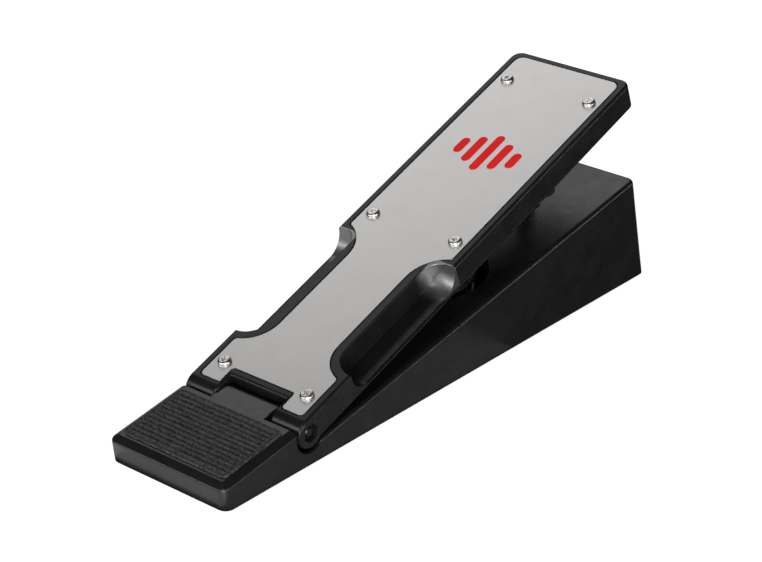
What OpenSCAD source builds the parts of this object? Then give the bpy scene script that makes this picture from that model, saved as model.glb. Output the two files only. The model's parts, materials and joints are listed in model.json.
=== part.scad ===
// Sustain pedal: a wedge base with a heel rest, and a long footboard hinged behind the heel.
// X is the width, Y runs from the heel to the toe, Z is up. The origin is under the middle of the pedal.

/* [Base] */
// Width of the base and the footboard
width = 63; // [60:1:70]
// Length of the base along the floor
base_len = 279; // [272:1:290]
// Height of the base at its rear edge
rear_h = 50.5; // [48:0.5:54]
// Height of the heel rest at its front edge
heel_h = 11.4; // [11:0.2:13]
// Wall thickness of the base housing
wall = 2.6; // [2.2:0.2:3]
// Diameter of the spring well
well_d = 41.5; // [38:0.5:44]

/* [Footboard] */
// Angle of the footboard at rest, in degrees
board_tilt = 20.2; // [19:0.1:21]
// Angle that the footboard turns when it is pressed, in degrees
travel = 8.9; // [7:0.1:9]
// Distance from the hinge axis to the far end of the footboard
board_reach = 227.7; // [215:0.5:232]
// Height of the footboard's top face above the hinge axis
board_top = 6.8; // [6.4:0.1:7.2]
// Depth of the footboard's underside below the hinge axis
board_under = 5.1; // [4.6:0.1:5.4]

/* [Foot plate] */
// Width of the steel plate
plate_w = 55.2; // [52:0.2:56]
// Thickness of the steel plate
plate_t = 1; // [0.8:0.1:1.2]
// Distance between neighbouring screws along the plate
screw_pitch = 98.4; // [94:0.2:100]
// Distance between the two screws of a pair across the plate
screw_span = 44.6; // [42:0.2:46]

/* [Spring] */
// Diameter of the spring's wire
wire_d = 2; // [1.6:0.1:2.2]
// Mean diameter of the spring's coils
coil_d = 26; // [22:1:28]
// Number of turns
turns = 6.5; // [5:0.5:8]

/* [Hidden] */
$fn = 64;
eps = 0.01;
foot_h = 1;
half = width / 2;

// Base profile
heel_lean = 1.4;
rear_lean = 11.5;
heel_back_y = 40.7;
heel_back_z = 18.2;
heel_slope = atan((heel_back_z - heel_h) / (heel_back_y + heel_lean));
rear_top_y = base_len - rear_lean;
ramp_y = 60.4;
ramp_z = 10.4;
ramp_slope = atan((rear_h - ramp_z) / (rear_top_y - ramp_y));
corner_r = 4.2;
cover_t = 2;
cover_gap = 0.3;
function ramp_at(y) = ramp_z + (y - ramp_y) * tan(ramp_slope);

// Hinge
hinge_y = 48.4;
hinge_z = 14.1;
ear_r = board_top;
ear_relief_r = 7.6;
knuckle_half = 14.3;
notch_half = 15;
bolt_d = 4;
bush_d = 6.4;
bush_len = 8;
washer_t = 0.5;
nut_af = 7;
nut_t = 3.2;
pocket_af = 7.3;
pocket_depth = 4.2;

// Footboard outline, along the board from the hinge axis
notch_depth = 6;
board_corner_r = 5;
rim_x = 20.2;
// centres and radii of the arcs that close each scoop, for the rim
scoop_near = 38.5;
scoop_near_r = 11;
scoop_far = 83.5;
scoop_far_r = 13;
scoop_floor = -3;
deck_t = 3;
plate_clear = 0.4;

// Foot plate outline
plate_far = 224.3;
plate_near = 1.1;
plate_waist = 15.8;
plate_notch_half = 16.8;
plate_notch_far = 9.9;
plate_corner_r = 4;
screw_first = 10.8;
screw_rows = [screw_first, screw_first + screw_pitch, screw_first + 2 * screw_pitch];
plate_seat = board_top - plate_t;

// Mark on the plate
mark_s = 162;
mark_pitch = 7;
mark_bar = 4.2;
mark_bars = [10, 17, 24, 17, 10];
mark_t = 0.1;

// Heel pad
pad_half = 27.4;
pad_near = 3.6;
pad_far = 37;
pad_sink = 0.8;
pad_proud = 1.2;
rib_count = 13;
groove_depth = 0.6;

// Spring and its cups
well_y = 166.9;
well_floor_z = 6;
spring_y = well_y + 2.3;
spring_s = 124;
cap_t = 1.5;
seat_t = 1.5;

// Stop hook and bumper
hook_s = 176;
hook_w = 10;
hook_t = 2;
hook_drop = 35.3;
hook_foot = 13;
hook_flange = 15;
hook_seat = -1.1;
hook_clear = 0.3;
hook_screw_rows = [hook_s + 5, hook_s + 12];
spine_half = 7.5;
slot_y = 220.5;
slot_len = 9.5;
slot_half = 6.5;
buffer_t = 2;
bumper_y = 239;
bumper_r = 6;
bumper_h = 1.9;
bumper_dome_r = (bumper_r * bumper_r + bumper_h * bumper_h) / (2 * bumper_h);

// Switch and the finger that presses it
finger_s = 52;
finger_tip = 15.3;
finger_r = 3;
window_y = 95.5;
window_len = 13.5;
window_half = 5;
lever_pivot_y = 131.3;
lever_pivot_z = 8.9;
lever_reach = 31.4;
lever_rest = 15.2;
lever_t = 0.4;
lever_w = 3.4;
pin_r = 0.5;
switch_len = 20;
switch_w = 6.4;
switch_top = 8.2;
switch_low = cover_t;
switch_y = 112.5;
switch_screw_rows = [switch_y + 3, switch_y + 17];
switch_screw_r = 0.8;
button_y = 124;
button_r = 1.1;
button_top = 10.3;

// Output socket
jack_z = 22;
jack_r = 3.2;
sleeve_r = 4.7;
jack_face_y = base_len - 9.5;
jack_wall = 3;
jack_back_y = base_len - 39;
jack_front_y = base_len - 17;
jack_half = 8;

// Cover screws and feet
boss_x = 26;
boss_y = [26, 135, 250];
boss_r = 3.5;
foot_x = 22;
foot_y = [11, 266];
foot_r = 7;
foot_sink = 0.8;

// Leads
lead_r = 0.7;
lead_route = [[2, 111, 4.75], [3, 108, 4.6], [8, 106.5, 4.2], [14, 113, 3.8], [19, 130, 3.8], [25.5, 150, 3.8],
    [26.5, 168, 3.8], [24.5, 186, 3.8], [17, 206, 3.8], [11, 222, 5], [7, 230, 12], [5, 233, 21], [5, 238.5, 24.25]];

// ---------- placing ----------

// Heel frame: y counts from the heel end of the base, z from the underside of the base
module at_base() translate([0, (heel_lean - base_len) / 2, foot_h]) children();

// Board frame: y counts along the board from the hinge axis, z across it
module at_board() at_base() translate([0, hinge_y, hinge_z]) rotate([board_tilt, 0, 0]) children();

// A prism across the width, from an outline given as [y, z] points
module across(x0, x1) translate([x0, 0, 0]) rotate([90, 0, 90]) linear_extrude(x1 - x0) children();

// A cylinder along X
module rod_x(x0, x1, r) translate([x0, 0, 0]) rotate([0, 90, 0]) cylinder(h = x1 - x0, r = r);

// A hexagon along X with its flats square to z
module hexagon_x(x0, x1, af) translate([x0, 0, 0]) rotate([0, 90, 0]) rotate(30)
    cylinder(h = x1 - x0, d = af / cos(30), $fn = 6);

module both_sides() {
    children();
    mirror([1, 0, 0]) children();
}

// Points of an arc, from angle a0 to a1
function arc(cx, cy, r, a0, a1, n = 8) = [for (i = [0:n]) let (a = a0 + (a1 - a0) * i / n)
    [cx + r * cos(a), cy + r * sin(a)]];

// A rectangle with rounded corners
module rounded(x0, x1, y0, y1, r) polygon(concat(
    arc(x1 - r, y0 + r, r, -90, 0), arc(x1 - r, y1 - r, r, 0, 90),
    arc(x0 + r, y1 - r, r, 90, 180), arc(x0 + r, y0 + r, r, 180, 270)));

// Pan head with its shank along -Z, head seated at z = 0
module pan_screw(head_r, head_h, shank_r, shank_len) {
    difference() {
        union() {
            cylinder(h = head_h * 0.6, r = head_r);
            translate([0, 0, head_h * 0.6]) intersection() {
                cylinder(h = head_h * 0.4, r = head_r);
                translate([0, 0, head_h * 0.4 - head_r * 2]) sphere(r = head_r * 2);
            }
        }
        for (turn = [0, 90]) rotate(turn) translate([-head_r * 0.5, -0.35, head_h * 0.45])
            cube([head_r, 0.7, head_h]);
    }
    translate([0, 0, -shank_len]) cylinder(h = shank_len + eps, r = shank_r);
}

// ---------- base ----------

function heel_at(y) = heel_h + (y + heel_lean) * tan(heel_slope);
function ramp_at(y) = ramp_z + (y - ramp_y) * tan(ramp_slope);

// An upright block with rounded corners, leaning towards the heel about the line y = 0
module leaning(y0, y1, lean_angle) rotate([lean_angle, 0, 0])
    translate([0, 0, -100]) linear_extrude(300) rounded(-half, half, y0, y1, corner_r);

module base_solid() intersection() {
    across(-half - 1, half + 1) polygon([[0, 0], [-heel_lean, heel_h], [heel_back_y, heel_back_z],
        [heel_back_y, ramp_at(heel_back_y)], [rear_top_y, rear_h], [base_len, 0]]);
    leaning(0, 400, atan(heel_lean / heel_h));
    translate([0, base_len, 0]) leaning(-400, 0, atan(rear_lean / rear_h));
}

// The knuckle's top carries on from the heel rest and rolls round the hinge axis
module knuckle() {
    knuckle_r = (heel_at(hinge_y) - hinge_z) * cos(heel_slope);
    across(-knuckle_half, knuckle_half) polygon(concat(
        [[heel_back_y - 3, 4], [heel_back_y - 3, heel_at(heel_back_y - 3)]],
        arc(hinge_y, hinge_z, knuckle_r, 90 + heel_slope, -60, 14),
        [[hinge_y + knuckle_r * cos(60) + 1, 4]]));
}

module base_cavity() {
    skin = wall / cos(ramp_slope);
    inner = half - wall;
    across(-inner, inner) polygon([[wall + 0.4, -eps], [wall, heel_at(wall) - pad_sink - wall],
        [heel_back_y - 4.7, heel_at(heel_back_y - 4.7) - pad_sink - wall], [heel_back_y - 4.7, -eps]]);
    across(-inner, inner) polygon([[62, -eps], [62, ramp_at(62) - skin],
        [rear_top_y - wall, ramp_at(rear_top_y - wall) - skin], [base_len - wall, -eps]]);
}

module well_tube() intersection() {
    base_solid();
    translate([0, well_y, well_floor_z - 2.4]) cylinder(h = 60, r = well_d / 2 + 2.4);
}

module cover_outline(inset, z, h) translate([0, 0, z]) linear_extrude(h)
    rounded(-half + inset, half - inset, inset, base_len - inset, corner_r - 1);

module cover_bosses() intersection() {
    base_solid();
    both_sides() for (y = boss_y) translate([boss_x, y, cover_t]) cylinder(h = 11, r = boss_r);
}

module jack_boss() intersection() {
    base_solid();
    translate([0, jack_face_y - jack_wall, jack_z]) rotate([-90, 0, 0]) cylinder(h = 30, r = 11);
}

module base_housing() color([0.09, 0.09, 0.1]) at_base() difference() {
    union() {
        difference() {
            base_solid();
            base_cavity();
        }
        knuckle();
        well_tube();
        cover_bosses();
        jack_boss();
    }
    cover_outline(1.6, -eps, cover_t + eps);
    // spring well
    translate([0, well_y, well_floor_z]) cylinder(h = 60, r = well_d / 2);
    // room for the ears
    for (x = [-half - 1, notch_half - 0.7]) translate([0, hinge_y, hinge_z])
        rod_x(x, x + half + 1.7 - notch_half, ear_relief_r);
    // hinge bore
    translate([0, hinge_y, hinge_z]) rod_x(-knuckle_half - 1, knuckle_half + 1, bush_d / 2);
    // bed of the heel pad
    pad_bed();
    // slot of the stop hook, window over the switch lever, hole of the bumper's stem
    translate([-slot_half, slot_y, ramp_at(slot_y) - 8]) cube([2 * slot_half, slot_len, 20]);
    translate([-window_half, window_y, ramp_at(window_y) - 8]) cube([2 * window_half, window_len, 20]);
    at_ramp(bumper_y) translate([0, 0, -10]) cylinder(h = 20, r = 2);
    // socket recess and hole
    translate([0, jack_face_y, jack_z]) rotate([-90, 0, 0]) cylinder(h = 30, r = 8.5);
    translate([0, jack_face_y - 10, jack_z]) rotate([-90, 0, 0]) cylinder(h = 20, r = sleeve_r + 0.1);
    // pilot holes of the cover screws
    both_sides() for (y = boss_y) translate([boss_x, y, -1]) cylinder(h = 9, r = 1.5);
}

// Ramp frame: z stands square to the base's sloping top at y
module at_ramp(y) translate([0, y, ramp_at(y)]) rotate([ramp_slope, 0, 0]) children();

// Heel frame for the pad: y runs up the heel rest's slope
module at_heel() translate([0, 0, heel_at(0)]) rotate([heel_slope, 0, 0]) children();

module pad_bed() at_heel() translate([0, 0, -pad_sink]) linear_extrude(8)
    rounded(-pad_half - 0.1, pad_half + 0.1, pad_near - 0.1, pad_far + 0.1, 2.6);

module bottom_cover() color([0.13, 0.13, 0.14]) at_base() difference() {
    cover_outline(1.6 + cover_gap, 0, cover_t);
    both_sides() {
        for (y = boss_y) translate([boss_x, y, 0]) {
            translate([0, 0, -1]) cylinder(h = 5, r = 1.7);
            translate([0, 0, -eps]) cylinder(h = 1.4, r1 = 3.1, r2 = 1.7);
        }
        for (y = foot_y) translate([foot_x, y, -1]) cylinder(h = 1 + foot_sink, r = foot_r + 0.1);
    }
    for (y = switch_screw_rows) translate([0, y, 0]) {
        translate([0, 0, -1]) cylinder(h = 5, r = switch_screw_r);
        translate([0, 0, -eps]) cylinder(h = 0.9, r1 = 1.7, r2 = switch_screw_r);
    }
}

module cover_screws() color("silver") at_base() both_sides() for (y = boss_y) translate([boss_x, y, 0])
    difference() {
        union() {
            translate([0, 0, 0.1]) cylinder(h = 1.3, r1 = 2.9, r2 = 1.5);
            translate([0, 0, 1]) cylinder(h = 6.5, r = 1.5);
        }
        for (turn = [0, 90]) rotate(turn) translate([-1.4, -0.3, -1]) cube([2.8, 0.6, 1.7]);
    }

module rubber_feet() color([0.05, 0.05, 0.05]) at_base() both_sides() for (y = foot_y)
    translate([foot_x, y, -foot_h]) difference() {
        cylinder(h = foot_h + foot_sink, r = foot_r);
        translate([0, 0, -1]) cylinder(h = 1.4, r = 2.5);
    }

module heel_pad() color([0.1, 0.1, 0.1]) at_base() at_heel() translate([0, 0, -pad_sink]) difference() {
    linear_extrude(pad_sink + pad_proud) rounded(-pad_half, pad_half, pad_near, pad_far, 2.5);
    pitch = (pad_far - pad_near - 3) / rib_count;
    for (i = [0:rib_count - 1])
        translate([-pad_half + 2, pad_near + 1.5 + (i + 0.25) * pitch, pad_sink + pad_proud - groove_depth])
            cube([2 * pad_half - 4, pitch / 2, 2]);
}

module rest_bumper() color([0.05, 0.05, 0.05]) at_base() at_ramp(bumper_y) {
    intersection() {
        cylinder(h = bumper_h, r = bumper_r);
        translate([0, 0, bumper_h - bumper_dome_r]) sphere(r = bumper_dome_r);
    }
    translate([0, 0, -6]) cylinder(h = 6 + eps, r = 1.9);
}

module hook_buffer() color([0.05, 0.05, 0.05]) at_base() at_ramp(slot_y) translate([-5, -7.5, -wall - buffer_t])
    cube([10, 7, buffer_t]);

module hinge_bushes() color([0.72, 0.55, 0.25]) at_base() translate([0, hinge_y, hinge_z]) both_sides()
    difference() {
        rod_x(knuckle_half - bush_len, knuckle_half, bush_d / 2);
        rod_x(knuckle_half - bush_len - 1, knuckle_half + 1, bolt_d / 2 + 0.04);
    }

module spring_seat() color([0.2, 0.2, 0.22]) at_base() translate([0, spring_y, well_floor_z]) difference() {
    union() {
        cylinder(h = seat_t, r = coil_d / 2 + 3);
        cylinder(h = seat_t + 3, r = coil_d / 2 - 3);
    }
    translate([0, 0, seat_t]) cylinder(h = 10, r = coil_d / 2 - 5);
}

// Height of the upper cup's face above y, in the base frame
spring_low = well_floor_z + seat_t;
spring_high = hinge_z + spring_s * sin(board_tilt) - (board_under + cap_t) * cos(board_tilt);
spring_high_y = hinge_y + spring_s * cos(board_tilt) + (board_under + cap_t) * sin(board_tilt);
function cap_at(y) = spring_high + (y - spring_high_y) * tan(board_tilt);

function coil_point(turn) = let (
    a = 360 * turn,
    y = spring_y + coil_d / 2 * sin(a),
    low = spring_low + wire_d / 2 + 0.05,
    high = cap_at(y) - wire_d / 2 / cos(board_tilt) - 0.1)
    [coil_d / 2 * cos(a), y, low + (high - low) * turn / turns];

module return_spring() color("silver") at_base()
    tube([for (i = [0:turns * 16]) coil_point(i / 16)], wire_d / 2, [0, 0, 1]);

// A round tube swept along points; side must never be parallel to the run
function unit(v) = v / norm(v);
module tube(points, r, side, sides = 8) {
    last = len(points) - 1;
    rings = [for (i = [0:last]) let (
        run = unit(points[min(i + 1, last)] - points[max(i - 1, 0)]),
        u = unit(cross(run, side)),
        v = cross(run, u))
        for (k = [0:sides - 1]) points[i] + r * (cos(360 * k / sides) * u + sin(360 * k / sides) * v)];
    skin = [for (i = [0:last - 1], k = [0:sides - 1]) let (
        a = i * sides + k,
        b = i * sides + (k + 1) % sides)
        [a, a + sides, b + sides, b]];
    near_end = [for (k = [0:sides - 1]) k];
    far_end = [for (k = [sides - 1:-1:0]) last * sides + k];
    polyhedron(rings, concat(skin, [near_end, far_end]));
}

// ---------- switch ----------

module switch_body() color([0.12, 0.12, 0.12]) at_base() difference() {
    union() {
        translate([-switch_w / 2, switch_y, switch_low]) cube([switch_w, switch_len, switch_top - switch_low]);
        both_sides() difference() {
            translate([0, lever_pivot_y, lever_pivot_z]) rod_x(lever_w / 2 + 0.2, switch_w / 2, 1.2);
            translate([0, 0, -20]) cube(20);
        }
        both_sides() translate([lever_w / 2 + 0.2, lever_pivot_y - 1.2, switch_top - 1])
            cube([switch_w / 2 - lever_w / 2 - 0.2, 2.4, 1.6]);
    }
    translate([0, lever_pivot_y, lever_pivot_z]) rod_x(-10, 10, pin_r);
    translate([-lever_w / 2 - 0.2, lever_pivot_y - 1.6, lever_pivot_z - 1.6])
        cube([lever_w + 0.4, 5, 5]);
    translate([0, button_y, switch_low + 1]) cylinder(h = 20, r = button_r + 0.1);
    for (y = switch_screw_rows) translate([0, y, switch_low - 1]) cylinder(h = 4.4, r = switch_screw_r);
}

module switch_terminals() color("gold") at_base() both_sides()
    translate([1.4, switch_y - 2.5, switch_low + 2.5]) cube([1.2, 2.5, 0.5]);

module switch_screws() color("silver") at_base() for (y = switch_screw_rows) translate([0, y, 0]) difference() {
    union() {
        translate([0, 0, 0.1]) cylinder(h = 0.8, r1 = 1.5, r2 = switch_screw_r);
        translate([0, 0, 0.5]) cylinder(h = 4.7, r = switch_screw_r);
    }
    translate([-2, -0.2, -1]) cube([4, 0.4, 1.4]);
}

module lever_pin() color("silver") at_base() translate([0, lever_pivot_y, lever_pivot_z])
    rod_x(-switch_w / 2, switch_w / 2, pin_r);

module switch_lever() color([0.8, 0.8, 0.82]) at_base() translate([0, lever_pivot_y, lever_pivot_z])
    rotate([-lever_rest, 0, 0]) difference() {
        union() {
            rod_x(-lever_w / 2, lever_w / 2, 1);
            translate([-lever_w / 2, -lever_reach, -lever_t / 2]) cube([lever_w, lever_reach, lever_t]);
        }
        rod_x(-lever_w, lever_w, pin_r + 0.05);
    }

module switch_button() color([0.7, 0.1, 0.1]) at_base() translate([0, button_y, button_top - 3.2])
    cylinder(h = 3.2, r = button_r);

// ---------- output socket ----------

module along_y(y, z) translate([0, y, z]) rotate([-90, 0, 0]) children();

module jack_sleeve() color("silver") at_base() along_y(jack_front_y, jack_z) difference() {
    union() {
        cylinder(h = base_len - 6 - jack_front_y, r = sleeve_r);
        cylinder(h = jack_face_y - jack_wall - jack_front_y, r = sleeve_r + 1.6);
    }
    translate([0, 0, -1]) cylinder(h = 30, r = jack_r);
}

module jack_housing() color([0.1, 0.1, 0.1]) at_base() difference() {
    translate([-jack_half, jack_back_y, jack_z - jack_half]) cube([2 * jack_half, jack_front_y - jack_back_y,
        2 * jack_half]);
    along_y(jack_back_y + 2, jack_z) cylinder(h = 30, r = jack_r);
    translate([-2, jack_back_y + 3, jack_z]) cube([4, 12, 20]);
}

module jack_contact() color("gold") at_base() {
    across(-1.5, 1.5) polygon([[jack_back_y + 3.5, jack_z + jack_half], [jack_back_y + 3.5, jack_z + jack_half + 0.4],
        [jack_back_y + 8, jack_z + jack_half + 0.4], [jack_back_y + 11, jack_z + 3.9],
        [jack_back_y + 10.6, jack_z + 3.5], [jack_back_y + 7.8, jack_z + jack_half]]);
    both_sides() translate([4, jack_back_y - 2.5, jack_z + 2]) cube([2, 2.5, 0.5]);
}

module jack_washer() color("silver") at_base() along_y(jack_face_y, jack_z) difference() {
    cylinder(h = 0.5, r = 7);
    translate([0, 0, -1]) cylinder(h = 3, r = sleeve_r + 0.15);
}

module jack_nut() color("silver") at_base() along_y(jack_face_y + 0.5, jack_z) difference() {
    cylinder(h = 2.2, d = 12 / cos(30), $fn = 6);
    translate([0, 0, -1]) cylinder(h = 5, r = sleeve_r);
}

// Smooth points through a route, four to a stretch
function smooth(p) = [for (i = [0:len(p) - 2], k = [0:3]) let (
    t = k / 4, a = p[max(i - 1, 0)], b = p[i], c = p[i + 1], d = p[min(i + 2, len(p) - 1)])
    b + (c - a) / 2 * t + (a - 2.5 * b + 2 * c - d / 2) * t * t + (d - a + 3 * (b - c)) / 2 * t * t * t];

module lead() tube(concat(smooth(lead_route), [lead_route[len(lead_route) - 1]]), lead_r, [1, -0.3, 0.5]);
module signal_wire() color([0.7, 0.1, 0.1]) at_base() lead();
module ground_wire() color([0.1, 0.1, 0.1]) at_base() mirror([1, 0, 0]) lead();

// ---------- footboard ----------

// Outline of one finger scoop, widened by grow
module scoop_outline(grow) {
    near_r = scoop_near_r + grow;
    far_r = scoop_far_r + grow;
    polygon(concat([[half + 2, scoop_near - near_r]],
        arc(rim_x + scoop_near_r, scoop_near, near_r, 270, 180, 10),
        arc(rim_x + scoop_far_r, scoop_far, far_r, 180, 90, 10), [[half + 2, scoop_far + far_r]]));
}

module ears() across(-half, half) intersection() {
    circle(r = ear_r);
    translate([-20, -20]) square([20 + 8, 40]);
}

module board_blank() {
    translate([0, 0, -board_under]) linear_extrude(board_top + board_under) intersection() {
        rounded(-half, half, -60, board_reach, board_corner_r);
        translate([-half, 0]) square([width, board_reach]);
    }
    ears();
}

// Hollows in the underside, as [near, far] along the board and the outer x of the pair
POCKETS = [[12, 25, 17], [30, 47, 17], [57, 78, 17], [80.5, 102, 17], [116, 138, 28], [140.5, 163.5, 28],
    [166, 189, 28], [191.5, 201.5, 28], [214, 224, 28]];

module board_pockets() both_sides() for (p = POCKETS)
    translate([spine_half, p[0], -board_under - 1]) cube([p[2] - spine_half, p[1] - p[0], 1 + board_under + plate_seat - deck_t]);

module footboard() color([0.08, 0.08, 0.09]) at_board() difference() {
    union() {
        board_blank();
        translate([0, finger_s, 0]) {
            translate([0, 0, finger_r - finger_tip]) sphere(r = finger_r);
            translate([0, 0, finger_r - finger_tip]) cylinder(h = finger_tip - finger_r, r = finger_r);
        }
    }
    // notch over the knuckle
    translate([-notch_half, -20, -20]) cube([2 * notch_half, 20 + notch_depth, 40]);
    both_sides() translate([0, 0, scoop_floor]) linear_extrude(20) scoop_outline(0);
    board_pockets();
    // seat of the steel plate
    translate([0, 0, plate_seat]) linear_extrude(5) plate_outline(plate_clear);
    // screw holes
    for (x = [-1, 1], s = screw_rows) translate([x * screw_span / 2, s, -1]) cylinder(h = 10, r = 1.5);
    // hinge bolt, its head and its nut
    rod_x(-half - 1, half + 1, bolt_d / 2 + 0.05);
    hexagon_x(half - pocket_depth, half + 1, pocket_af);
    rod_x(-half - 1, -half + pocket_depth, 3.8);
    // screw holes of the spring cap and the hook
    translate([0, spring_s, -board_under - 1]) cylinder(h = 9, r = 1.25);
    for (s = hook_screw_rows) translate([0, s, -board_under - 1]) cylinder(h = 11, r = 1.25);
    // recess of the hook's flange
    translate([-hook_w / 2 - hook_clear, hook_s - hook_clear, -board_under - 1])
        cube([hook_w + 2 * hook_clear, hook_flange + 2 * hook_clear, 1 + board_under + hook_seat]);
}

module plate_outline(grow) difference() {
    rounded(-plate_w / 2 - grow, plate_w / 2 + grow, plate_near - grow, plate_far + grow, plate_corner_r);
    both_sides() scoop_outline(rim_x - plate_waist - grow);
    translate([-plate_notch_half + grow, -20])
        square([2 * plate_notch_half - 2 * grow, 20 + plate_notch_far - grow]);
}

module foot_plate() color([0.75, 0.75, 0.74]) at_board() translate([0, 0, plate_seat]) difference() {
    linear_extrude(plate_t) plate_outline(0);
    for (x = [-1, 1], s = screw_rows) translate([x * screw_span / 2, s, -1]) cylinder(h = 5, r = 1.65);
}

// A plain mark of five upright bars
module plate_mark() color([0.85, 0.1, 0.1]) at_board() for (i = [0:4])
    translate([(i - 2) * mark_pitch, mark_s, board_top]) linear_extrude(mark_t)
        rounded(-mark_bar / 2, mark_bar / 2, -mark_bars[i] / 2, mark_bars[i] / 2, mark_bar / 2 - eps);

module plate_screws() color("silver") at_board() for (x = [-1, 1], s = screw_rows)
    translate([x * screw_span / 2, s, board_top]) pan_screw(3, 1.6, 1.5, 7);

module hinge_bolt() color("silver") at_board() {
    rod_x(-half + pocket_depth, half - pocket_depth + nut_t + 0.4, bolt_d / 2);
    difference() {
        rod_x(-half + pocket_depth - 2.2, -half + pocket_depth, 3.5);
        hexagon_x(-half, -half + pocket_depth - 0.8, 2.5);
    }
}

module hinge_nut() color("silver") at_board() difference() {
    hexagon_x(half - pocket_depth, half - pocket_depth + nut_t, nut_af);
    rod_x(0, half + 1, bolt_d / 2);
}

module hinge_washers() color([0.85, 0.85, 0.8]) at_board() both_sides() difference() {
    rod_x(knuckle_half + 0.15, knuckle_half + 0.15 + washer_t, 4.2);
    rod_x(0, half, bolt_d / 2 + 0.05);
}

module spring_cap() color([0.2, 0.2, 0.22]) at_board() translate([0, spring_s, -board_under - cap_t]) difference() {
    union() {
        cylinder(h = cap_t, r = coil_d / 2 + 4);
        translate([0, 0, -3]) cylinder(h = 3 + eps, r = coil_d / 2 - 4.5);
    }
    translate([0, 0, -10]) cylinder(h = 20, r = 1.4);
    translate([0, 0, -4]) cylinder(h = 3.2, r = 3.2);
}

module cap_screw() color("silver") at_board() translate([0, spring_s, -board_under - cap_t - 0.8]) mirror([0, 0, 1])
    pan_screw(2.6, 1.6, 1.25, 9);

module stop_hook() color([0.6, 0.6, 0.62]) at_board() {
    tilt = board_tilt - ramp_slope;
    foot_z = -board_under - hook_drop;
    difference() {
        union() {
            translate([-hook_w / 2, hook_s, hook_seat - hook_t]) cube([hook_w, hook_flange, hook_t]);
            translate([-hook_w / 2, hook_s, foot_z - hook_t]) cube([hook_w, hook_t, hook_seat - foot_z + hook_t]);
            translate([0, hook_s + hook_t, foot_z]) rotate([-tilt, 0, 0])
                translate([-hook_w / 2, -hook_foot, -hook_t]) cube([hook_w, hook_foot, hook_t]);
        }
        for (s = hook_screw_rows) translate([0, s, -20]) cylinder(h = 20, r = 1.3);
    }
}

module hook_screws() color("silver") at_board() for (s = hook_screw_rows)
    translate([0, s, hook_seat - hook_t]) mirror([0, 0, 1]) pan_screw(2.4, 1.4, 1.25, 7);

base_housing();
bottom_cover();
cover_screws();
rubber_feet();
heel_pad();
rest_bumper();
hook_buffer();
hinge_bushes();
spring_seat();
return_spring();
switch_body();
switch_terminals();
switch_screws();
lever_pin();
switch_lever();
switch_button();
jack_sleeve();
jack_housing();
jack_washer();
jack_nut();
jack_contact();
signal_wire();
ground_wire();
footboard();
foot_plate();
plate_mark();
plate_screws();
hinge_bolt();
hinge_nut();
hinge_washers();
spring_cap();
cap_screw();
stop_hook();
hook_screws();
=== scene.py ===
"""Looks of the sustain pedal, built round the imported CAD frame.

Shapes are written in millimetres, in two sets of axes that part.scad also uses: base axes (x across, y from
the heel end, z from the underside of the base) and board axes (x across, s along the footboard from the hinge
axis, t square to it). BASE and BOARD carry them into the frame, in metres.
"""

import json
import math

import bmesh
import bpy
from mathutils import Matrix, Vector


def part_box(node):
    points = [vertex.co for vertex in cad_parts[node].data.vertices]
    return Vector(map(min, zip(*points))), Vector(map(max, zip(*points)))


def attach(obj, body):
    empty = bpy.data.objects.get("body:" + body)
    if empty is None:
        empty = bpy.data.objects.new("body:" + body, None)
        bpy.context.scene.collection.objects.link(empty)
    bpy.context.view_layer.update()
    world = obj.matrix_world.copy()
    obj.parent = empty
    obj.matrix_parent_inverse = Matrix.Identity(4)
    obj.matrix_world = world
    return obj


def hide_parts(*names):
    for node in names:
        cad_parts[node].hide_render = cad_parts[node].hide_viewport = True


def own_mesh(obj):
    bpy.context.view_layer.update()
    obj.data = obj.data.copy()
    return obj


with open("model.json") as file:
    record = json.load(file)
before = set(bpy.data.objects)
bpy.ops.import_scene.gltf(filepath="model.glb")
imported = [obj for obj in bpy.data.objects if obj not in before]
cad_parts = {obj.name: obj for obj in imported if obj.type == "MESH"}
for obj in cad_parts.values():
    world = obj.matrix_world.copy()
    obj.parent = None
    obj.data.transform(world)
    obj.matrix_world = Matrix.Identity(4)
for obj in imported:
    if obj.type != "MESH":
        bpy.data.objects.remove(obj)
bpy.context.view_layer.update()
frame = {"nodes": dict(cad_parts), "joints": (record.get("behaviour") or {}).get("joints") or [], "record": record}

# ---------------------------------------------------------------- axes and driving sizes

MM = 0.001
HEEL_LEAN = 1.4
BOARD_TILT = math.radians(20.2)
base_low, base_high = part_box("base_housing")
hinge = next(j for j in frame["joints"] if j["name"] == "footboard_hinge")
BASE = Matrix.Translation((0, base_low.y + HEEL_LEAN * MM, base_low.z)) @ Matrix.Scale(MM, 4)
BOARD = Matrix.Translation(hinge["pos_m"]) @ Matrix.Rotation(BOARD_TILT, 4, "X") @ Matrix.Scale(MM, 4)

HALF = (base_high.x - base_low.x) / MM / 2
LENGTH = (base_high.y - base_low.y) / MM - HEEL_LEAN
REAR_TOP = (base_high.z - base_low.z) / MM
HINGE = BASE.inverted() @ Vector(hinge["pos_m"])

# Base: each sloping top is (height at y = 0, rise per millimetre of y)
HEEL_FRONT_Z = 11.4
HEEL_BACK_Y, HEEL_BACK_Z = 40.7, 18.2
HEEL_RISE = (HEEL_BACK_Z - HEEL_FRONT_Z) / (HEEL_BACK_Y + HEEL_LEAN)
HEEL_TOP = (HEEL_FRONT_Z + HEEL_LEAN * HEEL_RISE, HEEL_RISE)
RAMP_Y, RAMP_Z, REAR_LEAN = 60.4, 10.4, 11.5
RAMP_RISE = (REAR_TOP - RAMP_Z) / (LENGTH - REAR_LEAN - RAMP_Y)
RAMP_TOP = (RAMP_Z - RAMP_Y * RAMP_RISE, RAMP_RISE)
WALL = 2.6
CORNER_R = 4.2
SHOULDER_R, SHOULDER_DROP, SHOULDER_SLOPE = 1.15, 2.5, math.radians(28)
RAMP_EDGE_R = 2.0
RELIEF_R = 8.2
KNUCKLE_HALF = 14.3
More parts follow.
